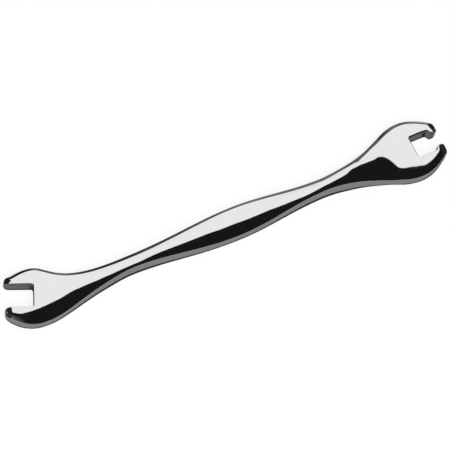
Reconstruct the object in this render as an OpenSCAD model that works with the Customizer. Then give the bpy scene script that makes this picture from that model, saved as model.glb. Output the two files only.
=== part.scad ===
// A forged double-ended spoke wrench, all in one piece. One end has an open
// three-sided slot that is turned against the handle, the other a four-sided
// pocket with a narrow mouth that lets the spoke in.
// Millimetres. X runs along the handle, Y across it and Z through it.
// The tool lies on z = 0, and the origin is under the middle of its outline.

/* [Handle] */
// Width of the bulge in the middle of the handle
bulge_w = 8.2; // [6.5:0.1:10]
// Thickness at the bulge
bulge_t = 4; // [3.4:0.1:5]
// Width of the two necks
neck_w = 3.8; // [3:0.02:5]
// Thickness at the necks, where the forging is squeezed narrow and tall
neck_t = 5.6; // [4.6:0.1:6.4]
// From the middle of the bulge to the pocket end's neck
pocket_neck_x = 26; // [22:0.5:29]
// From the middle of the bulge to the slot end's neck
slot_neck_x = 30; // [24:0.5:33]
// How far the slot end's neck is bent to the far side
slot_neck_bend = 0.38; // [0:0.02:0.8]
// How far the pocket end's neck is bent to the near side
pocket_neck_bend = 0.1; // [0:0.02:0.6]

/* [Slot end] */
// Width of the slot, which is the size of the nipple across its flats
slot_w = 6; // [4.5:0.1:7]
// From the middle of the bulge to the slot's back wall
slot_x = 56.3; // [54:0.1:60]
// How far the middle of the slot's back wall lies to the far side
slot_y = 2; // [1:0.1:3]
// Angle between the slot and the handle
slot_turn = 23; // [15:1:28]
// Length of the slot
slot_l = 7.5; // [6:0.05:9]
// How far the slot's two outer corners are cut back
slot_flare = 0.8; // [0.2:0.05:1]
// Width of the head round the slot
slot_head_w = 15.4; // [14:0.1:17]

/* [Pocket end] */
// Width of the pocket, which is the size of the nipple across its flats
pocket_w = 6; // [4.5:0.1:7]
// Length of the pocket's side walls
pocket_l = 5.5; // [4.6:0.1:6]
// Width of the mouth between the two lips
mouth_w = 3.6; // [2.4:0.1:4]
// Length of the slanted inner face of each lip
lip_l = 0.7; // [0.4:0.05:1.4]
// Length of the mouth's narrowest part
mouth_l = 1.1; // [0.2:0.05:1.6]
// How far the mouth's two outer corners are cut back
mouth_flare = 0.75; // [0.2:0.05:1]
// From the middle of the bulge to the widest point of the head
pocket_head_x = 51; // [49:0.1:55]
// From the widest point of the head to the pocket's back wall
pocket_back = 1.95; // [1:0.05:3]
// Width of the head round the pocket
pocket_head_w = 16.3; // [15:0.1:18]

/* [Surface] */
// Thickness of both heads
head_t = 4; // [3.4:0.1:4.6]
// Width of the strip along the edge in which the faces fall away
rim_w = 4.1; // [2.5:0.1:5]
// Size of the bevel on all outer edges
edge = 0.3; // [0.1:0.05:0.4]
// Radius in the inner corners of the slot and the pocket
corner_r = 0.5; // [0.2:0.05:0.8]

/* [Resolution] */
// Steps between two neighbouring stations along the tool
steps = 3; // [2:1:6]
// Strips across each face
strips = 12; // [8:2:20]

/* [Hidden] */
$fn = 48;
// How far the cutters run past what they cut
over = head_t / 2;

// Half outlines of the slot end in shares of half its head's width, from the
// slot's back wall: [along the slot and across it for the far jaw, the same for
// the near jaw]
slot_head_shares = [
    [0.95, 0.625, 0.93, 0.64], [0.87, 0.69, 0.872, 0.72], [0.765, 0.735, 0.785, 0.775],
    [0.61, 0.825, 0.63, 0.862], [0.435, 0.912, 0.45, 0.94], [0.24, 0.98, 0.245, 0.99],
    [0.05, 1.015, 0.05, 1.005], [-0.145, 1.005, -0.14, 0.99], [-0.34, 0.953, -0.335, 0.94],
    [-0.52, 0.897, -0.505, 0.875], [-0.69, 0.85, -0.665, 0.81]
];
// The flare between the slot end and its neck, in shares of half the head's
// width: [along and across on the far side, along and across on the near side]
slot_flare_shares = [
    [1.14, 0.66, 0.635, -0.704], [1.31, 0.57, 0.985, -0.63], [1.54, 0.482, 1.335, -0.545],
    [1.825, 0.405, 1.715, -0.454], [2.18, 0.345, 2.14, -0.362], [2.60, 0.308, 2.60, -0.284],
    [3.0, 0.296, 3.0, -0.225]
];
// Half outlines of the flare between the pocket end's neck and its widest point,
// in shares of half the head's width: [along the handle, far side, near side]
pocket_flare_shares = [
    [-2.6, 0.253, 0.277], [-2.07, 0.325, 0.372], [-1.73, 0.4, 0.458], [-1.4, 0.498, 0.566],
    [-1.055, 0.633, 0.69], [-0.71, 0.785, 0.826], [-0.368, 0.932, 0.948], [0, 1.005, 1.008]
];
// The rest of those outlines: [share of the way from the head's widest point to
// its end, shares of half the head's width on the far and the near side]
pocket_head_shares = [
    [0.26, 0.992, 0.99], [0.505, 0.908, 0.902], [0.715, 0.79, 0.772], [0.82, 0.718, 0.69],
    [0.9, 0.65, 0.628], [0.955, 0.59, 0.58], [0.987, 0.53, 0.525]
];
// How far the crowned faces fall away in that strip along the edge, in shares of
// its width
crown_share = 0.045;
// How much of the two ends' half width is left at their blunt tips, and how long
// the far and the near jaw of the slot are in shares of the slot
tip_shares = [0.53, 0.47];
jaw_shares = [1.015, 0.975];
// Where the handle has stations between the bulge and a neck
handle_shares = [0.17, 0.35, 0.53, 0.72, 0.88];
// Where the forging is tallest, in shares of the way to the neck, and where it
// is down to the heads' thickness, in shares of the way to the head's middle
tall_share = 1.15;
level_share = 0.97;

slot_r = slot_head_w / 2;
pocket_r = pocket_head_w / 2;
slot_back = [-slot_x, slot_y];
slot_dir = [-cos(slot_turn), sin(slot_turn)];
slot_side = [sin(slot_turn), cos(slot_turn)];
// The mouth ends where the head does
mouth_end = pocket_l + lip_l + mouth_l + mouth_flare;
pocket_head_l = pocket_back + mouth_end;

function mix(a, b, t) = a + (b - a) * t;
// A blend from 0 to 1 that starts and ends level
function ease(t) = (1 - cos(180 * min(max(t, 0), 1))) / 2;

// Each station is a pair of outline points: [on the far side, on the near side]
function slot_station(far, near) = [
    slot_back + slot_dir * far[0] + slot_side * far[1],
    slot_back + slot_dir * near[0] - slot_side * near[1]
];
function handle_station(x, half, bend) = [[x, bend + half], [x, bend - half]];
function pocket_station(x, s) = [[x, pocket_r * s[1]], [x, -pocket_r * s[2]]];
function bulge_station(neck_x, share, bend) =
    handle_station(neck_x * share, mix(bulge_w, neck_w, ease(share)) / 2, bend * pow(ease(share), 2));

stations = [
    slot_station(
        [slot_l * jaw_shares[0], slot_r * tip_shares[0]],
        [slot_l * jaw_shares[1], slot_r * tip_shares[0]]
    ),
    for (s = slot_head_shares) slot_station(slot_r * [s[0], s[1]], slot_r * [s[2], s[3]]),
    for (s = slot_flare_shares) [
        [slot_r * s[0] - slot_x, slot_r * s[1]],
        [slot_r * s[2] - slot_x, slot_r * s[3]]
    ],
    bulge_station(-slot_neck_x, 1, slot_neck_bend),
    for (k = [len(handle_shares) - 1:-1:0])
        bulge_station(-slot_neck_x, handle_shares[k], slot_neck_bend),
    for (s = concat(0, handle_shares, 1)) bulge_station(pocket_neck_x, s, -pocket_neck_bend),
    for (s = pocket_flare_shares) pocket_station(pocket_head_x + pocket_r * s[0], s),
    for (s = pocket_head_shares) pocket_station(pocket_head_x + pocket_head_l * s[0], s),
    handle_station(pocket_head_x + pocket_head_l, pocket_r * tip_shares[1], 0)
];

// A smooth curve through the stations
function curve(a, b, c, d, t) =
    (2 * b + (c - a) * t + (2 * a - 5 * b + 4 * c - d) * t * t + (3 * b - a - 3 * c + d) * t * t * t) / 2;
last = len(stations) - 1;
rows = [
    for (i = [0:last - 1], k = [0:steps - 1])
        [for (side = [0, 1]) curve(
            stations[max(i - 1, 0)][side], stations[i][side],
            stations[i + 1][side], stations[min(i + 2, last)][side], k / steps)],
    stations[last]
];
row_count = len(rows);
outline = concat([for (r = rows) r[0]], [for (i = [row_count - 1:-1:0]) rows[i][1]]);
outline_x = [for (p = outline) p[0]];
outline_y = [for (p = outline) p[1]];
middle = [(min(outline_x) + max(outline_x)) / 2, (min(outline_y) + max(outline_y)) / 2];

// The least distance from a point to the outline
function to_side(p, a, b) =
    let (t = min(max((p - a) * (b - a) / ((b - a) * (b - a)), 0), 1)) norm(p - mix(a, b, t));
function depth(p) =
    min([for (i = [0:len(outline) - 1]) to_side(p, outline[i], outline[(i + 1) % len(outline)])]);

// Half the thickness in the middle of the faces, at a place along the handle
function half_t(x) =
    let (
        neck_x = tall_share * (x < 0 ? slot_neck_x : pocket_neck_x),
        head_x = level_share * (x < 0 ? slot_x : pocket_head_x),
        rise = ease(abs(x) / neck_x),
        fall = ease((abs(x) - neck_x) / (head_x - neck_x))
    )
    mix(mix(bulge_t, neck_t, rise), head_t, fall) / 2;

// The faces fall away in a strip along the edge, which the handle's two sides
// share where it is narrow, and the outer edges are beveled
function half_z(p, d, half_w) =
    let (strip = min(rim_w, half_w), out = 1 - min(d / strip, 1), bevel = 1 - min(d / edge, 1))
    half_t(p[0]) - crown_share * strip * out * out - edge * bevel;

// Places across a row: the edge, the bevel's inner line, and then even turns
// of a half circle, so that they lie closer along the rims
function across(j, inset) =
    j == 0 ? 0 : j == strips ? 1 : mix(inset, 1 - inset, ease((j - 1) / (strips - 2)));
grid = [
    for (r = rows)
        let (w = norm(r[1] - r[0]))
        [for (j = [0:strips])
            let (p = mix(r[0], r[1], across(j, edge / w)))
            [p[0], p[1], half_z(p, depth(p), w / 2)]]
];

module blank() {
    cols = strips + 1;
    top = [for (r = grid) each r];
    bottom = [for (p = top) [p[0], p[1], -p[2]]];
    n = len(top);
    // Corners of each cell of the faces, and of each step along the outline
    cells = [
        for (i = [0:row_count - 2], j = [0:strips - 1])
            [i * cols + j, (i + 1) * cols + j, (i + 1) * cols + j + 1, i * cols + j + 1]
    ];
    loop = [
        for (i = [0:row_count - 1]) i * cols,
        for (j = [1:strips]) (row_count - 1) * cols + j,
        for (i = [row_count - 2:-1:0]) i * cols + strips,
        for (j = [strips - 1:-1:1]) j
    ];
    polyhedron(
        concat(top, bottom),
        [
            for (c = cells) each [[c[0], c[1], c[2]], [c[0], c[2], c[3]]],
            for (c = cells) each [[n + c[0], n + c[2], n + c[1]], [n + c[0], n + c[3], n + c[2]]],
            for (k = [0:len(loop) - 1])
                let (a = loop[k], b = loop[(k + 1) % len(loop)])
                each [[a, n + a, n + b], [a, n + b, b]]
        ]
    );
}

// A cutter from x = 0 on, with its two back corners rounded
module rounded_slot(length, width) {
    translate([corner_r, -width / 2]) square([length - corner_r, width]);
    translate([0, corner_r - width / 2]) square([length, width - 2 * corner_r]);
    for (side = [-1, 1])
        translate([corner_r, side * (width / 2 - corner_r)]) circle(corner_r);
}

module through(height) {
    translate([0, 0, -height / 2]) linear_extrude(height) children();
}

// A cutter that widens by 45 degrees from a place short of an opening's end on
module flare(end, width, size) {
    polygon([
        for (side = [-1, 1]) each side < 0
            ? [[end - size, -width / 2], [end + over, -width / 2 - size - over]]
            : [[end + over, width / 2 + size + over], [end - size, width / 2]]
    ]);
}

module slot_cutter() {
    translate(slot_back) rotate(180 - slot_turn)
        through(head_t + over) {
            rounded_slot(slot_l + over, slot_w);
            flare(slot_l, slot_w, slot_flare);
        }
}

// The pocket narrows to its mouth between two slanted lips
module pocket_cutter() {
    translate([pocket_head_x + pocket_back, 0]) through(head_t + over) {
        rounded_slot(pocket_l, pocket_w);
        polygon([
            for (side = [-1, 1]) each side < 0
                ? [[pocket_l, -pocket_w / 2], [pocket_l + lip_l, -mouth_w / 2],
                   [mouth_end, -mouth_w / 2]]
                : [[mouth_end, mouth_w / 2], [pocket_l + lip_l, mouth_w / 2],
                   [pocket_l, pocket_w / 2]]
        ]);
        flare(mouth_end, mouth_w, mouth_flare);
    }
}

module forged_body() {
    color("silver")
        translate([-middle[0], -middle[1], neck_t / 2])
            difference() {
                blank();
                slot_cutter();
                pocket_cutter();
            }
}

forged_body();
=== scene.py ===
import math

import bmesh
import bpy
import numpy as np
from mathutils import Matrix, Vector


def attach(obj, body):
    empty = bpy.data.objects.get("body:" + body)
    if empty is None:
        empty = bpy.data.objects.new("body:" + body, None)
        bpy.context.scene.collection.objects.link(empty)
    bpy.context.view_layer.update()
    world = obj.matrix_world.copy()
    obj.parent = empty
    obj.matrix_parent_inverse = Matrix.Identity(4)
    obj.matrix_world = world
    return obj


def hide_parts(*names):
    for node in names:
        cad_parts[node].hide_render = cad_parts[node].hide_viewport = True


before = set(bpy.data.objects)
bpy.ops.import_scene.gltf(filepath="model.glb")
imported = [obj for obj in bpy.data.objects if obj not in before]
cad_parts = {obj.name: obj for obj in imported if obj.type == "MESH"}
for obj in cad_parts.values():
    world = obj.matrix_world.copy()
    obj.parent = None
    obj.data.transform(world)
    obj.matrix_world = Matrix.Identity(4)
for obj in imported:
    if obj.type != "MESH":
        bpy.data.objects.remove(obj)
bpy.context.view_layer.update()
bpy.ops.object.select_all(action="DESELECT")

# ---------------------------------------------------------------------------
# The forged body. One blank of chrome-vanadium steel, drop-forged between two
# dies, with the slot and the pocket machined into its flat heads. Its faces
# are crowned and polished, and the whole of it is chrome plated.
# Lengths here are in millimetres from the middle of the handle's bulge, at half
# the thickness: x along the handle, y to its far side, z up.

BULGE_W, NECK_W = 8.2, 3.8
POCKET_NECK_X, SLOT_NECK_X = 26.0, 30.0
SLOT_NECK_BEND, POCKET_NECK_BEND = 0.38, -0.1
SLOT_W, SLOT_X, SLOT_Y, SLOT_L, SLOT_HEAD_W = 6.0, 56.3, 2.0, 7.5, 15.4
SLOT_TURN = math.radians(23)
SLOT_FLARE_L, SLOT_FLARE_W = 1.0, 0.8  # the rounding of the slot's two outer corners
POCKET_W, POCKET_L, POCKET_BACK = 6.0, 5.5, 1.95
LIP_L, MOUTH_W, MOUTH_L, MOUTH_R = 0.7, 3.6, 1.1, 0.75
POCKET_HEAD_X, POCKET_HEAD_W = 51.0, 16.3
POCKET_HEAD_L = POCKET_BACK + POCKET_L + LIP_L + MOUTH_L + MOUTH_R
CORNER_R = 0.5
BED_Z = 2.8  # the tool lies on its necks, which are twice this thick
MM = 0.001

SLOT_BACK = np.array([-SLOT_X, SLOT_Y])
SLOT_DIR = np.array([-math.cos(SLOT_TURN), math.sin(SLOT_TURN)])
SLOT_SIDE = np.array([math.sin(SLOT_TURN), math.cos(SLOT_TURN)])

# Half outlines of the heads and flares, in shares of half the head's width, for
# the far and the near side, and how long the two jaws are in shares of the slot.
SLOT_TIP, POCKET_TIP = 0.53, 0.47
JAWS = (1.015, 0.975)
SLOT_HEAD = [
    (0.95, 0.625, 0.93, 0.64), (0.87, 0.69, 0.872, 0.72), (0.765, 0.735, 0.785, 0.775),
    (0.61, 0.825, 0.63, 0.862), (0.435, 0.912, 0.45, 0.94), (0.24, 0.98, 0.245, 0.99),
    (0.05, 1.015, 0.05, 1.005), (-0.145, 1.005, -0.14, 0.99), (-0.34, 0.953, -0.335, 0.94),
    (-0.52, 0.897, -0.505, 0.875), (-0.69, 0.85, -0.665, 0.81),
]
SLOT_FLARE = [
    (1.14, 0.66, 0.635, -0.704), (1.31, 0.57, 0.985, -0.63), (1.54, 0.482, 1.335, -0.545),
    (1.825, 0.405, 1.715, -0.454), (2.18, 0.345, 2.14, -0.362), (2.60, 0.308, 2.60, -0.284),
    (3.0, 0.296, 3.0, -0.225),
]
POCKET_FLARE = [
    (-2.6, 0.253, 0.277), (-2.07, 0.325, 0.372), (-1.73, 0.4, 0.458), (-1.4, 0.498, 0.566),
    (-1.055, 0.633, 0.69), (-0.71, 0.785, 0.826), (-0.368, 0.932, 0.948), (0, 1.005, 1.008),
]
POCKET_HEAD = [
    (0.26, 0.992, 0.99), (0.505, 0.908, 0.902), (0.715, 0.79, 0.772), (0.82, 0.718, 0.69),
    (0.9, 0.65, 0.628), (0.955, 0.59, 0.58), (0.987, 0.53, 0.525),
]
HANDLE = [0.17, 0.35, 0.53, 0.72, 0.88]


def ease(t):
    return (1 - np.cos(np.pi * np.clip(t, 0, 1))) / 2


def slot_point(along, across):
    return SLOT_BACK + SLOT_DIR * along + SLOT_SIDE * across


def bulge_station(neck_x, share, bend):
    half = (BULGE_W + (NECK_W - BULGE_W) * ease(share)) / 2
    bend = bend * ease(share) ** 2
    return [np.array([neck_x * share, bend + half]), np.array([neck_x * share, bend - half])]


def pocket_station(x, far, near):
    return [np.array([x, pocket_r * far]), np.array([x, -pocket_r * near])]


slot_r, pocket_r = SLOT_HEAD_W / 2, POCKET_HEAD_W / 2
stations = [[slot_point(SLOT_L * jaw, side * slot_r * SLOT_TIP) for jaw, side in zip(JAWS, (1, -1))]]
stations += [
    [slot_point(slot_r * a, slot_r * b), slot_point(slot_r * c, -slot_r * d)]
    for a, b, c, d in SLOT_HEAD
]
stations += [
    [np.array([slot_r * a - SLOT_X, slot_r * b]), np.array([slot_r * c - SLOT_X, slot_r * d])]
    for a, b, c, d in SLOT_FLARE
]
stations += [bulge_station(-SLOT_NECK_X, s, SLOT_NECK_BEND) for s in [1] + HANDLE[::-1]]
stations += [bulge_station(POCKET_NECK_X, s, POCKET_NECK_BEND) for s in [0] + HANDLE + [1]]
stations += [pocket_station(POCKET_HEAD_X + pocket_r * a, b, c) for a, b, c in POCKET_FLARE]
stations += [pocket_station(POCKET_HEAD_X + POCKET_HEAD_L * a, b, c) for a, b, c in POCKET_HEAD]
stations += [pocket_station(POCKET_HEAD_X + POCKET_HEAD_L, POCKET_TIP, POCKET_TIP)]
stations = np.array(stations)


def station_at(t):
    """The pair of outline points, far and near, at a place t along the stations."""
    last = len(stations) - 1
    i = min(int(t), last - 1)
    a, b, c, d = (stations[min(max(i + k, 0), last)] for k in (-1, 0, 1, 2))
    t -= i
    return (
        2 * b + (c - a) * t + (2 * a - 5 * b + 4 * c - d) * t**2 + (3 * b - a - 3 * c + d) * t**3
    ) / 2


# The outline drawn finely, and drawn as coarsely as the solid's, which gives its middle.
FINE_POINTS, SOLID_STEPS = 2400, 3
dense_t = np.linspace(0, len(stations) - 1, FINE_POINTS)
dense = np.array([station_at(t) for t in dense_t])
coarse_t = [k / SOLID_STEPS for k in range(SOLID_STEPS * (len(stations) - 1) + 1)]
coarse = np.array([station_at(t) for t in coarse_t]).reshape(-1, 2)
middle_of_outline = (coarse.min(0) + coarse.max(0)) / 2

# Rows across the tool: close together round the two openings, wider along the handle.
# Those of an opening are given by their distance from its back wall.
TURNS = [math.sin(math.radians(a)) for a in (90, 76, 62, 47, 32, 16, 0)]
CORNER_ROWS, ROW_STEP, ROWS_BETWEEN = [0.0, 0.15, 0.32, 0.5], 0.45, 190
MOUTH_TURN = POCKET_L + LIP_L + MOUTH_L
slot_rows = [SLOT_L - SLOT_FLARE_L + SLOT_FLARE_L * t for t in TURNS]
slot_rows += [6.25, 6.1, 5.98, 5.86, 5.74] + [5.4 - ROW_STEP * k for k in range(11)] + CORNER_ROWS[::-1]
pocket_rows = CORNER_ROWS + [0.95 + ROW_STEP * k for k in range(10)] + [POCKET_L]
pocket_rows += [POCKET_L + LIP_L * k / 3 for k in (1, 2, 3)]
pocket_rows += [MOUTH_TURN - MOUTH_L * share for share in (0.68, 0.34)]
pocket_rows += [MOUTH_TURN + MOUTH_R * t for t in TURNS[::-1]]

# Where the rows meet the outline: on each jaw of the slot by itself, elsewhere straight
# across from one side to the other.
head = dense_t < len(SLOT_HEAD) + 1
slot_lines = []
for k, jaw in enumerate(JAWS):
    along = (dense[head, k] - SLOT_BACK) @ SLOT_DIR
    t_side = [float(np.interp(-a * jaw, -along, dense_t[head])) for a in slot_rows]
    slot_lines.append((t_side, [station_at(t)[k] for t in t_side]))
dense_x = dense.mean(1)[:, 0]
t_back = (slot_lines[0][0][-1] + slot_lines[1][0][-1]) / 2
back_x = POCKET_HEAD_X + POCKET_BACK
t_pocket = [float(np.interp(back_x + x, dense_x[~head], dense_t[~head])) for x in pocket_rows]
between = np.linspace(np.interp(t_back, dense_t, dense_x), back_x, ROWS_BETWEEN)[1:-1]
t_between = [float(np.interp(x, dense_x, dense_t)) for x in between]
rows = np.array(
    [[far, near] for far, near in zip(slot_lines[0][1], slot_lines[1][1])]
    + [station_at(t) for t in t_between + t_pocket]
)
SLOT_BACK_ROW = len(slot_rows) - 1
POCKET_BACK_ROW = SLOT_BACK_ROW + len(t_between) + 1
LAST_ROW = len(rows) - 1

SIDE_COLS, MIDDLE_COLS = 7, 8
COLS = 2 * SIDE_COLS + MIDDLE_COLS
# The two lines that become the openings' walls run on through the handle, at a share of
# its half width and never past another. They get there over a number of rows.
WALL_SHARE, WALL_MOST, WALL_ROWS = 0.5, 0.8, 24


def corner(into):
    """How far the rounded inner corner draws an opening's side in, at a distance from its back wall."""
    return CORNER_R - math.sqrt(max(CORNER_R**2 - max(CORNER_R - into, 0) ** 2, 0))


def turned(into, length, width):
    """How far a rounded outer corner has drawn back, at a depth into its turn."""
    return width * (1 - math.sqrt(max(1 - (max(into, 0) / length) ** 2, 0)))


def wall_half(i):
    """Half width of the opening at row i, or of the lines that lead to it."""
    half = np.linalg.norm(rows[i][0] - rows[i][1]) / 2
    slot_edge = SLOT_W / 2 - CORNER_R
    if i <= SLOT_BACK_ROW:
        a = slot_rows[i]
        return SLOT_W / 2 - corner(a) + turned(a - SLOT_L + SLOT_FLARE_L, SLOT_FLARE_L, SLOT_FLARE_W)
    if i >= POCKET_BACK_ROW:
        x = pocket_rows[i - POCKET_BACK_ROW]
        if x <= POCKET_L:
            return POCKET_W / 2 - corner(x)
        lip = min((x - POCKET_L) / LIP_L, 1)
        return (POCKET_W + (MOUTH_W - POCKET_W) * lip) / 2 + turned(x - MOUTH_TURN, MOUTH_R, MOUTH_R)
    near_slot = 1 - ease((i - SLOT_BACK_ROW) / WALL_ROWS)
    near_pocket = 1 - ease((POCKET_BACK_ROW - i) / WALL_ROWS)
    lead = max(near_slot, near_pocket)
    return min(half * WALL_SHARE * (1 - lead) + slot_edge * lead, half * WALL_MOST)


def drawn_on(line, overrun=9.0):
    """A side of the outline, drawn straight on past both ends of the tool."""
    before, after = line[0] + SLOT_DIR * overrun, line[-1] + np.array([overrun, 0.0])
    return np.concatenate([[before], line, [after]])


far_side, near_side = drawn_on(dense[::2, 0]), drawn_on(dense[::2, 1])


def gap_to(line, points):
    """Least distance from each point to a line, worked out in blocks to spare memory."""
    a, ab = line[:-1], np.diff(line, axis=0)
    span = (ab * ab).sum(1)
    least = []
    for block in np.array_split(points, 8):
        t = np.clip(((block[:, None] - a) * ab).sum(2) / span, 0, 1)
        least.append(np.sqrt(((block[:, None] - a - ab * t[..., None]) ** 2).sum(2)).min(1))
    return np.concatenate(least)


# Half the thickness along the middle of the faces, and how wide the strips are in
# which the crowned faces fall away to the near and the far rim.
THICK_X = [
    -66, -60, -56, -52, -48.5, -45, -41, -38, -34, -30, -25, -20, -15, -10, -5, 0,
    5, 10, 15, 20, 26, 30, 33, 36, 38.5, 41, 43.5, 46, 49.5, 55, 62,
]
THICK_Z = [
    2.056, 2.021, 2.03, 2.1, 2.25, 2.394, 2.546, 2.661, 2.744, 2.745, 2.691, 2.55, 2.377, 2.198, 2.042,
    2.001, 2.096, 2.248, 2.438, 2.617, 2.792, 2.792, 2.734, 2.55, 2.276, 2.094, 1.992, 1.923, 1.928, 2.003,
    2.08,
]
NEAR_X = [
    -64, -61.5, -59, -56.5, -54, -51.5, -49, -46.5, -44, -41, -38, -34, -29, -23, -16, -8, 0, 8, 15,
    21, 26, 29.5, 32.5, 35, 37, 39, 41, 43, 45, 47, 49, 51.5, 54, 56, 58, 60, 62,
]
NEAR_W = [
    2.5, 3.1, 4.44, 5.43, 5.88, 5.73, 5.5, 5.08, 4.24, 3.21, 2.37, 1.56, 1.25, 2.01, 2.81, 3.77, 4.13, 3.45,
    2.15, 1.4, 1.73, 2.38, 3.25, 4.86, 5.01, 5.36, 5.52, 6.88, 6.1, 3.28, 3.2, 2.86, 2.05, 1.94, 1.93, 2.28,
    2.56,
]
NEAR_SLOPE_X, NEAR_SLOPE = [-64, -60, -56], [0.32, 0.25, 0.16]  # how steep they are at the rim
FAR_SLOPE, FAR_W = 0.07, 3.0


def pchip(x, xs, ys):
    """A smooth curve through points that doesn't overshoot them."""
    xs, ys = np.array(xs, float), np.array(ys, float)
    h, step = np.diff(xs), np.diff(ys) / np.diff(xs)
    m = np.zeros(len(xs))
    for k in range(1, len(xs) - 1):
        if step[k - 1] * step[k] > 0:
            w1, w2 = 2 * h[k] + h[k - 1], h[k] + 2 * h[k - 1]
            m[k] = (w1 + w2) / (w1 / step[k - 1] + w2 / step[k])
    k = np.clip(np.searchsorted(xs, x) - 1, 0, len(h) - 1)
    t = np.clip((x - xs[k]) / h[k], 0, 1)
    return (
        ys[k] * (1 + 2 * t) * (1 - t) ** 2 + m[k] * h[k] * t * (1 - t) ** 2
        + ys[k + 1] * t**2 * (3 - 2 * t) + m[k + 1] * h[k] * t**2 * (t - 1)
    )


def face_height(points):
    """Height of the upper face over points in plan, before its edges are rounded."""
    near_w = pchip(points[:, 0], NEAR_X, NEAR_W)
    near_slope = np.interp(points[:, 0], NEAR_SLOPE_X, NEAR_SLOPE)
    near_fall = near_slope * near_w / 2 * np.clip(1 - gap_to(near_side, points) / near_w, 0, 1) ** 2
    far_fall = FAR_SLOPE * FAR_W / 2 * np.clip(1 - gap_to(far_side, points) / FAR_W, 0, 1) ** 2
    return pchip(points[:, 0], THICK_X, THICK_Z) - near_fall - far_fall


def plan_normals(line, flip):
    """Directions in plan straight away from a line, to its left, or to its right with flip -1."""
    tangent = np.gradient(line, axis=0)
    normal = np.stack([-tangent[:, 1], tangent[:, 0]], 1) * flip
    return normal / np.linalg.norm(normal, axis=1)[:, None]


# How wide and how high the edges are rounded off: along the near rim, along the far one
# with how far it bulges out, at the tips, and along the walls of the openings.
NEAR_RIM = np.array([0.45, 0.3])
FAR_RIM_X = [-64, -58, -52, -44, -30, -15, 0, 13, 26, 36, 42, 48, 54, 60]
FAR_RIM_W = [2.0, 1.9, 1.5, 1.7, 2.0, 1.7, 1.5, 1.7, 1.9, 1.4, 1.6, 2.3, 1.5, 1.35]
FAR_RIM_OUT = [0, 0, 0, 0.18, 0.25, 0.2, 0.17, 0.2, 0.25, 0.2, 0.2, 0.25, 0.12, 0]
FAR_RIM_SHARE = 0.43  # its height, as a share of its width
TIP_REACH = 1.4  # how far from the blunt ends the rims start to narrow towards the tips
TIP, WALL, SHADED_WALL = np.array([0.3, 0.3]), np.array([0.1, 0.1]), np.array([0.3, 0.3])
# The noses on the ends of the jaws (end 0) and the lips (end 1): how long, on the far
# side (1) and the near one (-1), how steep, and how gently they start.
NOSE_L = {(0, 1): 1.25, (0, -1): 1.6, (1, 1): 1.2, (1, -1): 1.55}
NOSE_SLOPE, NOSE_R = {0: 0.4, 1: 0.25}, 0.35
RIM_EVENINGS = 12  # passes that even out the rims' directions along the outline
far_n, near_n = plan_normals(rows[:, 0], 1), plan_normals(rows[:, 1], -1)
for normals in (far_n, near_n):
    for _ in range(RIM_EVENINGS):
        normals[1:-1] = (normals[:-2] + 2 * normals[1:-1] + normals[2:]) / 4
    normals /= np.linalg.norm(normals, axis=1)[:, None]

grid = np.zeros((LAST_ROW + 1, COLS + 1, 2))
true_edge = {}  # (row, column): (point on the sharp edge, normal in plan, rounding)


def axes_of(i):
    """The middle of row i, and the direction along it to the far side."""
    middle = rows[i].mean(0)
    side = rows[i][0] - rows[i][1]
    return middle, side / np.linalg.norm(side)


def to_end(i):
    """Which end a row belongs to, and how far it lies from the blunt end of its jaws or lips."""
    if i <= SLOT_BACK_ROW:
        return 0, SLOT_L - slot_rows[i]
    if i >= POCKET_BACK_ROW:
        return 1, pocket_rows[-1] - pocket_rows[i - POCKET_BACK_ROW]
    return None, math.inf


def nose_drop(i, col):
    """How far the faces have rolled down at a row and column, towards the blunt end."""
    end, gap = to_end(i)
    if end is None:
        return 0.0
    into = max(NOSE_L[end, 1 if col * 2 < COLS else -1] - gap, 0)
    return NOSE_SLOPE[end] * (into**2 / (2 * NOSE_R) if into < NOSE_R else into - NOSE_R / 2)


def rim_at(i, side):
    """Width and height of the rounding along the outer edge at row i."""
    x = rows[i][0 if side > 0 else 1][0]
    end, gap = to_end(i)
    size = NEAR_RIM
    if side > 0:
        width = float(pchip(np.array([x]), FAR_RIM_X, FAR_RIM_W)[0])
        size = np.array([width, width * FAR_RIM_SHARE])
    return size + (TIP - size) * float(ease((TIP_REACH - gap) / TIP_REACH))


def far_out(i):
    """How far the far edge bulges, at row i, past the outline of its middle."""
    return float(pchip(np.array([rows[i][0][0]]), FAR_RIM_X, FAR_RIM_OUT)[0])


wall_line = {side: [] for side in (1, -1)}
for i in range(LAST_ROW + 1):
    middle, side_dir = axes_of(i)
    if i <= SLOT_BACK_ROW:
        side_dir = SLOT_SIDE
    if i >= POCKET_BACK_ROW:
        middle = np.array([middle[0], 0.0])
    for side in (1, -1):
        if i <= SLOT_BACK_ROW:
            middle = SLOT_BACK + SLOT_DIR * slot_rows[i] * JAWS[0 if side > 0 else 1]
        wall_line[side].append(middle + side * side_dir * wall_half(i))
wall_line = {side: np.array(line) for side, line in wall_line.items()}
wall_n = {1: plan_normals(wall_line[1], -1), -1: plan_normals(wall_line[-1], 1)}
open_rows = list(range(SLOT_BACK_ROW + 1)) + list(range(POCKET_BACK_ROW, LAST_ROW + 1))
left_col, right_col = SIDE_COLS, SIDE_COLS + MIDDLE_COLS


def bisector(a, b):
    """The outward direction at a corner between two walls, long enough to mitre it."""
    n = a + b
    n = n / np.linalg.norm(n)
    return n / max(n @ a, 0.5)


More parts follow.
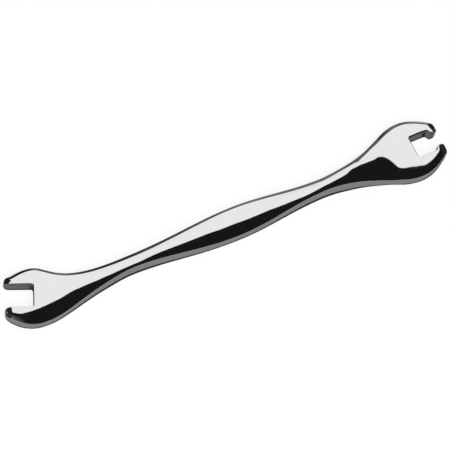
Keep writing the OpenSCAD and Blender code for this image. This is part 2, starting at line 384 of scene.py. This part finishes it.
# The face's vertices in plan, row by row. Those on its borders are drawn back by the
# width of the rounding, and true_edge keeps where the sharp edge would be.
end_n = {0: SLOT_DIR, LAST_ROW: np.array([1.0, 0.0])}
back_n = {SLOT_BACK_ROW: SLOT_DIR, POCKET_BACK_ROW: np.array([1.0, 0.0])}
for i in range(LAST_ROW + 1):
    for side, col, rim, rim_n, wall_col in (
        (1, 0, rows[i][0] + far_n[i] * far_out(i), far_n[i], left_col),
        (-1, COLS, rows[i][1], near_n[i], right_col),
    ):
        rim_size = rim_at(i, side)
        wall, wall_dir = wall_line[side][i], wall_n[side][i]
        if i in end_n:
            rim_n = bisector(end_n[i], rim_n)
            wall_dir = end_n[i]
        if i in back_n:
            wall_dir = bisector(back_n[i], wall_dir)
        true_edge[i, col] = (rim, rim_n, rim_size)
        grid[i, col] = rim - rim_n * rim_size[0]
        if i in open_rows:
            wall_size = SHADED_WALL if side > 0 and i not in back_n else WALL
            true_edge[i, wall_col] = (wall, wall_dir, wall_size)
            grid[i, wall_col] = wall - wall_dir * wall_size[0]
        else:
            grid[i, wall_col] = wall
    for j in range(1, left_col):
        share = j / left_col
        grid[i, j] = grid[i, 0] * (1 - share) + grid[i, left_col] * share
        grid[i, COLS - j] = grid[i, COLS] * (1 - share) + grid[i, right_col] * share
    for k in range(1, MIDDLE_COLS):
        share = k / MIDDLE_COLS
        grid[i, left_col + k] = grid[i, left_col] * (1 - share) + grid[i, right_col] * share
        if i in back_n:
            sharp = wall_line[1][i] * (1 - share) + wall_line[-1][i] * share
            true_edge[i, left_col + k] = (sharp, back_n[i], WALL)
            grid[i, left_col + k] = sharp - back_n[i] * WALL[0]
    if i in end_n:
        for j in range(1, left_col):
            share = j / left_col
            size = TIP * (1 - share) + WALL * share
            for col, side, rim in ((j, 1, rows[i][0]), (COLS - j, -1, rows[i][1])):
                sharp = rim * (1 - share) + wall_line[side][i] * share
                true_edge[i, col] = (sharp, end_n[i], size)
                grid[i, col] = sharp - end_n[i] * size[0]

height = face_height(grid.reshape(-1, 2))

# The upper face starts as a grid, a row of it for each line across the tool. Each
# vertex keeps its place in that grid, as a number, through the steps that follow.
# The second plating, on the walls of the openings, is darker by painted shade, for the shade inside the
# slot and the pocket.
POLISHED, GROUND_AND_PAINTED_SHADE = "chrome_plate_polished", "chrome_plate_on_ground_steel_with_painted_shade"
bpy.ops.mesh.primitive_grid_add(x_subdivisions=COLS, y_subdivisions=LAST_ROW, size=1)
body = bpy.context.object
body.name = "forged_wrench_body"
mesh = body.data
for finish in (POLISHED, GROUND_AND_PAINTED_SHADE):
    mesh.materials.append(bpy.data.materials.new(finish))
order = sorted(range(len(mesh.vertices)), key=lambda k: [round(c, 6) for c in mesh.vertices[k].co.yx])
place_of = {k: n for n, k in enumerate(order)}
bpy.ops.object.mode_set(mode="EDIT")
bm = bmesh.from_edit_mesh(mesh)
place = bm.verts.layers.int.new("place")
for v in bm.verts:
    n = place_of[v.index]
    v[place] = n
    x, y = grid[divmod(n, COLS + 1)]
    v.co = Vector((x, y, height[n])) * MM

# The openings: the faces between the two wall lines, in front of the back walls, go.
bpy.ops.mesh.select_mode(type="FACE")
for f in bm.faces:
    face_rows, face_cols = zip(*(divmod(v[place], COLS + 1) for v in f.verts))
    in_rows = max(face_rows) <= SLOT_BACK_ROW or min(face_rows) >= POCKET_BACK_ROW
    f.select = in_rows and min(face_cols) >= left_col and max(face_cols) <= right_col
bmesh.update_edit_mesh(mesh)
bpy.ops.mesh.delete(type="FACE")

# A copy of the flat face as it is now is kept for the black sheet under the tool, a painted contact shadow
# that only the metal mirrors.
bpy.ops.object.mode_set(mode="OBJECT")
shadow_sheet_mesh = mesh.copy()
bpy.ops.object.mode_set(mode="EDIT")


def edited_mesh():
    """The mesh that is being edited, and the layer with each vertex's place in the grid."""
    edited = bmesh.from_edit_mesh(mesh)
    return edited, edited.verts.layers.int["place"]


# The ends of the jaws and the lips are ground down to a blunt nose.
bm, place = edited_mesh()
for v in bm.verts:
    v.co.z -= nose_drop(*divmod(v[place], COLS + 1)) * MM
bmesh.update_edit_mesh(mesh)

# The rounded edges and the side walls: the open border is drawn out and down in rings,
# three of them round the edge and the last down the wall to half the thickness. The
# step that a ring is drawn out by doesn't matter, for its vertices are then placed.
EDGE_TURNS = (28, 54, 78, None)
WALLS_FROM = 2  # the first ring whose faces belong to the ground walls of the openings, plated in the darker grey that is painted shade
bpy.ops.mesh.select_mode(type="EDGE")
bpy.ops.mesh.select_all(action="DESELECT")
bpy.ops.mesh.select_non_manifold()
bm, place = edited_mesh()
face_z = {v[place]: v.co.z / MM for v in bm.verts if v.select}
for step, degrees in enumerate(EDGE_TURNS):
    bpy.ops.mesh.extrude_region_move(TRANSFORM_OT_translate={"value": (0, 0, -0.0001)})
    bm, place = edited_mesh()
    for v in bm.verts:
        if not v.select:
            continue
        sharp, normal, size = true_edge[divmod(v[place], COLS + 1)]
        if degrees is None:
            x, y, z = *sharp, 0.0
        else:
            angle = math.radians(degrees)
            x, y = sharp - normal * size[0] * (1 - math.sin(angle))
            z = face_z[v[place]] - size[1] * (1 - math.cos(angle))
        v.co = Vector((x, y, z)) * MM
    # The faces of the openings' walls take the second plating, with its painted shade.
    if step >= WALLS_FROM:
        for f in bm.faces:
            if sum(v.select for v in f.verts) == 2 and not f.material_index:
                face_cols = [v[place] % (COLS + 1) for v in f.verts]
                f.material_index = int(min(face_cols) >= left_col and max(face_cols) <= right_col)
    bmesh.update_edit_mesh(mesh)
bpy.ops.object.mode_set(mode="OBJECT")

# The lower half mirrors the upper one, and the whole is smoothed and set on its bed.
mirror = body.modifiers.new("lower_half", "MIRROR")
mirror.use_axis = (False, False, True)
mirror.use_clip = True
mirror.merge_threshold = 1e-6
bpy.ops.object.modifier_apply(modifier=mirror.name)
bpy.ops.object.mode_set(mode="EDIT")
bpy.ops.mesh.select_all(action="SELECT")
bpy.ops.mesh.normals_make_consistent(inside=False)
bpy.ops.object.mode_set(mode="OBJECT")
smooth = body.modifiers.new("smooth", "SUBSURF")
smooth.levels = smooth.render_levels = 1
bpy.ops.object.modifier_apply(modifier=smooth.name)
bpy.ops.object.shade_smooth()
bpy.ops.transform.translate(value=[c * MM for c in (*-middle_of_outline, BED_Z)])
bpy.ops.object.transform_apply(location=True, rotation=True, scale=True)


def linear(hex_colour):
    """An sRGB colour such as "#C0C4C8" as the linear numbers that a shader takes."""
    parts = [int(hex_colour[k : k + 2], 16) / 255 for k in (1, 3, 5)]
    return [c / 12.92 if c <= 0.04045 else ((c + 0.055) / 1.055) ** 2.4 for c in parts] + [1.0]


def empty_tree(owner):
    """The node tree of a material or a world, with nothing in it."""
    owner.use_nodes = True
    owner.node_tree.nodes.clear()
    return owner.node_tree


def add_node(tree, kind, settings=(), inputs=(), links=()):
    """One node, with its settings, its socket values and its links to earlier sockets."""
    made = tree.nodes.new(kind)
    for name, value in dict(settings).items():
        setattr(made, name, value)
    for name, value in dict(inputs).items():
        made.inputs[name].default_value = value
    for name, socket in dict(links).items():
        tree.links.new(socket, made.inputs[name])
    return made


def tone_mix(tree, share, first, second):
    """A socket with a colour between two, by a share that another socket gives."""
    mix = add_node(
        tree, "ShaderNodeMix", {"data_type": "RGBA"},
        inputs={6: linear(first), 7: linear(second)}, links={0: share},
    )
    return mix.outputs[2]


def plated(name, patch_size, haze, tints, line_size, line_strength, line_depth):
    """Chrome plating with patches of haze and tint, over the fine lines of the steel's finish.
    The lengths are in metres, as the shader takes them."""
    tree = empty_tree(bpy.data.materials[name])
    spot = {"Vector": add_node(tree, "ShaderNodeTexCoord").outputs["Object"]}
    patches = add_node(
        tree, "ShaderNodeTexNoise", inputs={"Scale": 1 / patch_size, "Detail": 3}, links=spot
    )
    roughness = add_node(
        tree, "ShaderNodeMapRange",
        inputs={"From Min": 0.3, "From Max": 0.7, "To Min": haze[0], "To Max": haze[1]},
        links={"Value": patches.outputs["Fac"]},
    )
    stretched = add_node(
        tree, "ShaderNodeMapping", inputs={"Scale": [1 / length for length in line_size]}, links=spot
    )
    lines = add_node(
        tree, "ShaderNodeTexNoise", inputs={"Scale": 1.0, "Detail": 2},
        links={"Vector": stretched.outputs["Vector"]},
    )
    relief = add_node(
        tree, "ShaderNodeBump", inputs={"Strength": line_strength, "Distance": line_depth},
        links={"Height": lines.outputs["Fac"]},
    )
    metal = add_node(
        tree, "ShaderNodeBsdfPrincipled", inputs={"Metallic": 1.0},
        links={
            "Base Color": tone_mix(tree, patches.outputs["Fac"], *tints),
            "Roughness": roughness.outputs["Result"],
            "Normal": relief.outputs["Normal"],
        },
    )
    add_node(tree, "ShaderNodeOutputMaterial", links={"Surface": metal.outputs["BSDF"]})


# Bright decorative chrome over a belt-polished forging: a mirror with the faintest
# haze, and with fine polishing lines along the tool that only a close look shows.
# They are 0.3 mm apart and 15 mm long, which is coarser than the real ones.
plated(
    POLISHED, patch_size=0.008, haze=(0.015, 0.045), tints=("#E5E7E9", "#E8E7E6"),
    line_size=(0.015, 0.0003, 0.0003), line_strength=0.1, line_depth=0.000004,
)
# The same plating over the ground walls of the openings: hazier, with the wheel's upright lines, which are
# 0.2 mm apart, drawn coarse enough to show. Its darker grey is painted shade, for the shade that falls
# inside the slot and the pocket.
plated(
    GROUND_AND_PAINTED_SHADE, patch_size=0.004, haze=(0.12, 0.2), tints=("#ACAEB1", "#BEBFC0"),
    line_size=(0.0002, 0.0002, 0.004), line_strength=0.3, line_depth=0.000008,
)

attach(body, "root")
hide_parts("forged_body")

# ---------------------------------------------------------------------------
# The table top: a plain white sheet, wide enough to fill the picture. It glows where
# it is looked at, so that it comes out as white as a cut-out background.
PAPER_GLOW = 0.85


def seen_share(tree):
    """A socket that is 1 for what the camera sees directly, mirrored or through glass."""
    path = add_node(tree, "ShaderNodeLightPath")
    share = path.outputs["Is Camera Ray"]
    for kind in ("Is Glossy Ray", "Is Transmission Ray"):
        links = {0: share, 1: path.outputs[kind]}
        share = add_node(tree, "ShaderNodeMath", {"operation": "MAXIMUM"}, links=links).outputs[0]
    return share


def matt(tree, scale, dark, light, spot="Object"):
    """A matt shader whose tone wanders a little between two, in grains of one size."""
    grain = add_node(
        tree, "ShaderNodeTexNoise", inputs={"Scale": scale},
        links={"Vector": add_node(tree, "ShaderNodeTexCoord").outputs[spot]},
    )
    tone = add_node(
        tree, "ShaderNodeMapRange", inputs={"To Min": dark, "To Max": light},
        links={"Value": grain.outputs["Fac"]},
    )
    return add_node(tree, "ShaderNodeBsdfDiffuse", links={"Color": tone.outputs["Result"]}).outputs[0]


bpy.ops.mesh.primitive_plane_add(size=6, location=(0, 0, 0))
table_top = bpy.context.object
table_top.name = "table_top"
paper = bpy.data.materials.new("white_paper_sweep")
tree = empty_tree(paper)
glow = add_node(tree, "ShaderNodeEmission", inputs={"Color": (1, 1, 1, 1), "Strength": 1.0})
amount = add_node(
    tree, "ShaderNodeMath", {"operation": "MULTIPLY"}, inputs={1: PAPER_GLOW}, links={0: seen_share(tree)}
)
lit = matt(tree, scale=40.0, dark=0.9, light=0.92, spot="Generated")
sheet = add_node(tree, "ShaderNodeMixShader", links={0: amount.outputs[0], 1: lit, 2: glow.outputs[0]})
add_node(tree, "ShaderNodeOutputMaterial", links={"Surface": sheet.outputs[0]})
table_top.data.materials.append(paper)

# ---------------------------------------------------------------------------
# The dark card that a photographer hangs over bright metal, so that its edges read.
# Its own edge, which runs behind the tool, is what the crowned faces mirror. In front
# it reaches on for metres and then turns down to the table.
CARD_Z = 1.5
CARD_EDGE_Y = 0.1859 * CARD_Z  # where the edge crosses x = 0
CARD_SLANT = 0.3238  # how far the edge runs to +Y for each metre along +X
CARD_HALF_L, CARD_DEPTH = 9.0, 6.0
CARD_FADE = (0.0, -0.6)  # the x between which it goes from dark to its lighter grey


def mirrored_only(ob):
    """Shows a piece of studio equipment to nothing but the metal that mirrors it."""
    ob.visible_camera = ob.visible_diffuse = ob.visible_shadow = False


def glowing(ob, material_name):
    """Paints a card that only the metal shows, and gives back its tree and its colour socket."""
    paint = bpy.data.materials.new(material_name)
    tree = empty_tree(paint)
    glow = add_node(tree, "ShaderNodeEmission", inputs={"Strength": 1.0})
    add_node(tree, "ShaderNodeOutputMaterial", links={"Surface": glow.outputs[0]})
    ob.data.materials.append(paint)
    mirrored_only(ob)
    return tree, glow.inputs["Color"]


def object_axis(tree, axis):
    """A socket with a point's x, y or z in the object's own frame."""
    spot = add_node(tree, "ShaderNodeTexCoord").outputs["Object"]
    return add_node(tree, "ShaderNodeSeparateXYZ", links={"Vector": spot}).outputs[axis]


def share_between(tree, value, start, end):
    """A socket that goes from 0 to 1 while another goes from one value to a second."""
    inputs = {"From Min": start, "From Max": end}
    return add_node(tree, "ShaderNodeMapRange", inputs=inputs, links={"Value": value}).outputs["Result"]


bpy.ops.mesh.primitive_grid_add(x_subdivisions=1, y_subdivisions=2, size=1, location=(0, 0, 0))
card = bpy.context.object
card.name = "black_card"
edge_dir = Vector((1, CARD_SLANT, 0)).normalized()
in_dir = Vector((CARD_SLANT, -1, 0)).normalized()
for v in card.data.vertices:
    row = round(1 - 2 * v.co.y)  # 0 along the edge, 1 where the card turns down, 2 on the table
    point = Vector((0, CARD_EDGE_Y, CARD_Z)) + edge_dir * math.copysign(CARD_HALF_L, v.co.x)
    if row > 0:
        point += in_dir * CARD_DEPTH
    if row > 1:
        point.z = 0.0
    v.co = point
tree, painted = glowing(card, "black_card")
faded = share_between(tree, object_axis(tree, "X"), *CARD_FADE)
tree.links.new(tone_mix(tree, faded, "#1A1A1A", "#808080"), painted)

# ---------------------------------------------------------------------------
# A low ring of card round the tool, for the edges that lean outwards. It is painted
# in greys by bearing, and in lighter ones along its foot, and it stands higher at
# the left. Bearings are in degrees from +X, towards +Y.
RING_R, RING_H = 0.5, 1.0
RING_TOP, RING_TOP_LEFT = 45, 62  # degrees above the table at which its rim stands
RING_RISE = (85, 125)  # the bearings, to either side, between which the rim rises
RING_FOOT = (0.22, 0.19)  # the heights between which the upper greys give way to the lower
UPPER_STOPS = [
    (-180, "#686868"), (-160, "#686868"), (-30, "#686868"), (-12, "#303030"), (30, "#242424"),
    (45, "#6C6C6C"), (56, "#6C6C6C"), (62, "#505050"), (67, "#707070"), (71, "#707070"),
    (77, "#303030"), (84, "#1C1C1C"), (150, "#242424"), (180, "#686868"),
]
LOWER_STOPS = [
    (-180, "#404040"), (-172, "#404040"), (-165, "#B8B8B8"), (-20, "#B8B8B8"), (-8, "#303030"),
    (30, "#242424"), (37, "#D8D8D8"), (52, "#D8D8D8"), (56, "#6C6C6C"), (62, "#505050"),
    (67, "#707070"), (71, "#707070"), (77, "#303030"), (84, "#1C1C1C"), (112, "#242424"),
    (122, "#B8B8B8"), (145, "#B8B8B8"), (150, "#404040"), (180, "#404040"),
]
bpy.ops.mesh.primitive_cylinder_add(
    vertices=96, radius=RING_R, depth=RING_H, end_fill_type="NOTHING", location=(0, 0, RING_H / 2)
)
ring = bpy.context.object
ring.name = "dark_ring"
for v in ring.data.vertices:
    if v.co.z > 0:
        degrees = abs(math.degrees(math.atan2(v.co.y, v.co.x)))
        risen = float(ease((degrees - RING_RISE[0]) / (RING_RISE[1] - RING_RISE[0])))
        rim_angle = RING_TOP + (RING_TOP_LEFT - RING_TOP) * risen
        v.co.z = RING_R * math.tan(math.radians(rim_angle)) - RING_H / 2
tree, painted = glowing(ring, "dark_ring_card")
spot = {"Vector": add_node(tree, "ShaderNodeTexCoord").outputs["Object"]}
bearing = add_node(tree, "ShaderNodeTexGradient", {"gradient_type": "RADIAL"}, links=spot)
shades = []
for stops in (UPPER_STOPS, LOWER_STOPS):
    shade = add_node(tree, "ShaderNodeValToRGB", links={"Fac": bearing.outputs["Fac"]})
    while len(shade.color_ramp.elements) < len(stops):
        shade.color_ramp.elements.new(0.5)
    for element, (degrees, colour) in zip(shade.color_ramp.elements, stops):
        element.position = degrees / 360 + 0.5
        element.color = linear(colour)
    shades.append(shade.outputs["Color"])
foot = share_between(tree, object_axis(tree, "Z"), *(z - RING_H / 2 for z in RING_FOOT))
greys = add_node(
    tree, "ShaderNodeMix", {"data_type": "RGBA"}, links={0: foot, 6: shades[0], 7: shades[1]}
)
tree.links.new(greys.outputs[2], painted)

# ---------------------------------------------------------------------------
# One more dark card, which hangs flat over the table at the left and the back. It
# gives the ground noses of the jaws their black.
SIDE_CARD_X, SIDE_CARD_Y, SIDE_CARD_Z = (-3, 0), (0.12, 3), 1.2
bpy.ops.mesh.primitive_plane_add(size=1, location=(0, 0, 0))
side_card = bpy.context.object
side_card.name = "side_card"
for v in side_card.data.vertices:
    v.co = (SIDE_CARD_X[v.co.x > 0], SIDE_CARD_Y[v.co.y > 0], SIDE_CARD_Z)
tree, painted = glowing(side_card, "black_side_card")
painted.default_value = linear("#1A1A1A")

# ---------------------------------------------------------------------------
# A mat of grey cloth on the table inside the ring, so that the sides of the tool
# mirror a middle grey and not the white table.
MAT_Z = 0.00002
bpy.ops.mesh.primitive_circle_add(vertices=96, radius=RING_R, fill_type="NGON", location=(0, 0, MAT_Z))
mat = bpy.context.object
mat.name = "grey_mat"
cloth = bpy.data.materials.new("grey_mat")
tree = empty_tree(cloth)
cloth_shader = matt(tree, scale=1 / 0.02, dark=0.225, light=0.24)
add_node(tree, "ShaderNodeOutputMaterial", links={"Surface": cloth_shader})
mat.data.materials.append(cloth)
mirrored_only(mat)

# ---------------------------------------------------------------------------
# A black sheet under the tool, cut to its outline and a little wider all round: painted contact shadow,
# seen only in the metal. It gives the dark line along the foot of the side walls, a painted reflection of
# the shade under the tool.
SHADOW_SHEET_WIDER, SHADOW_SHEET_Z = 0.62, 0.04  # in millimetres
for v in shadow_sheet_mesh.vertices:
    row, col = divmod(shadow_sheet_mesh.attributes["place"].data[v.index].value, COLS + 1)
    x, y = grid[row, col]
    if (row, col) in true_edge:
        sharp, normal, size = true_edge[row, col]
        x, y = sharp + normal * SHADOW_SHEET_WIDER
    v.co = Vector((x - middle_of_outline[0], y - middle_of_outline[1], SHADOW_SHEET_Z)) * MM
shadow_sheet_mesh.name = "painted_contact_shadow"
shadow_sheet = bpy.data.objects.new("painted_contact_shadow", shadow_sheet_mesh)
bpy.context.scene.collection.objects.link(shadow_sheet)
# Its near-black is painted shade, lying where the shadow under the tool would fall.
shadow_paint = bpy.data.materials.new("painted_contact_shadow")
tree = empty_tree(shadow_paint)
shadow_paint_shader = matt(tree, scale=1 / 0.001, dark=0.02, light=0.04)
add_node(tree, "ShaderNodeOutputMaterial", links={"Surface": shadow_paint_shader})
shadow_sheet_mesh.materials.clear()
shadow_sheet_mesh.materials.append(shadow_paint)
mirrored_only(shadow_sheet)

# ---------------------------------------------------------------------------
# The light: a white studio all round, dimmer where it only lights than where it is
# seen or mirrored, and one wide soft lamp in front of the tool, over the camera.
STUDIO_LIGHT, STUDIO_SEEN = 0.34, 1.0
LAMP_PLACE = Vector((-0.15, -0.45, 1.0))
world = bpy.data.worlds.new("white_studio")
bpy.context.scene.world = world
tree = empty_tree(world)
strength = add_node(
    tree, "ShaderNodeMapRange", inputs={"To Min": STUDIO_LIGHT, "To Max": STUDIO_SEEN},
    links={"Value": seen_share(tree)},
)
sky = add_node(
    tree, "ShaderNodeBackground", inputs={"Color": (1, 1, 1, 1)},
    links={"Strength": strength.outputs["Result"]},
)
add_node(tree, "ShaderNodeOutputWorld", links={"Surface": sky.outputs[0]})

lamp_data = bpy.data.lights.new("soft_lamp", "AREA")
lamp_data.shape = "SQUARE"
lamp_data.size = 0.6
lamp_data.energy = 12.0
lamp = bpy.data.objects.new("soft_lamp", lamp_data)
bpy.context.scene.collection.objects.link(lamp)
lamp.location = LAMP_PLACE
lamp.rotation_euler = (-LAMP_PLACE).to_track_quat("-Z", "Y").to_euler()
lamp.visible_glossy = False

# ---------------------------------------------------------------------------
# The camera, at the photograph's place and angle.
CAMERA_PLACE = Vector((-0.168435, -0.199346, 0.597389))
CAMERA_RIGHT = Vector((0.8938210, -0.4356204, 0.1063897))
CAMERA_UP = Vector((0.3663117, 0.8461504, 0.3870985))
CAMERA_BACK = Vector((-0.2586498, -0.3070249, 0.9158799))
cam_data = bpy.data.cameras.new("camera")
cam_data.sensor_width = 36.0
cam_data.lens = 200.0
cam_data.clip_start, cam_data.clip_end = 0.01, 20
cam = bpy.data.objects.new("camera", cam_data)
bpy.context.scene.collection.objects.link(cam)
axes = Matrix([CAMERA_RIGHT, CAMERA_UP, CAMERA_BACK]).transposed()
cam.matrix_world = Matrix.Translation(CAMERA_PLACE) @ axes.to_4x4()
bpy.context.scene.camera = cam
bpy.context.scene.view_settings.view_transform = "Standard"
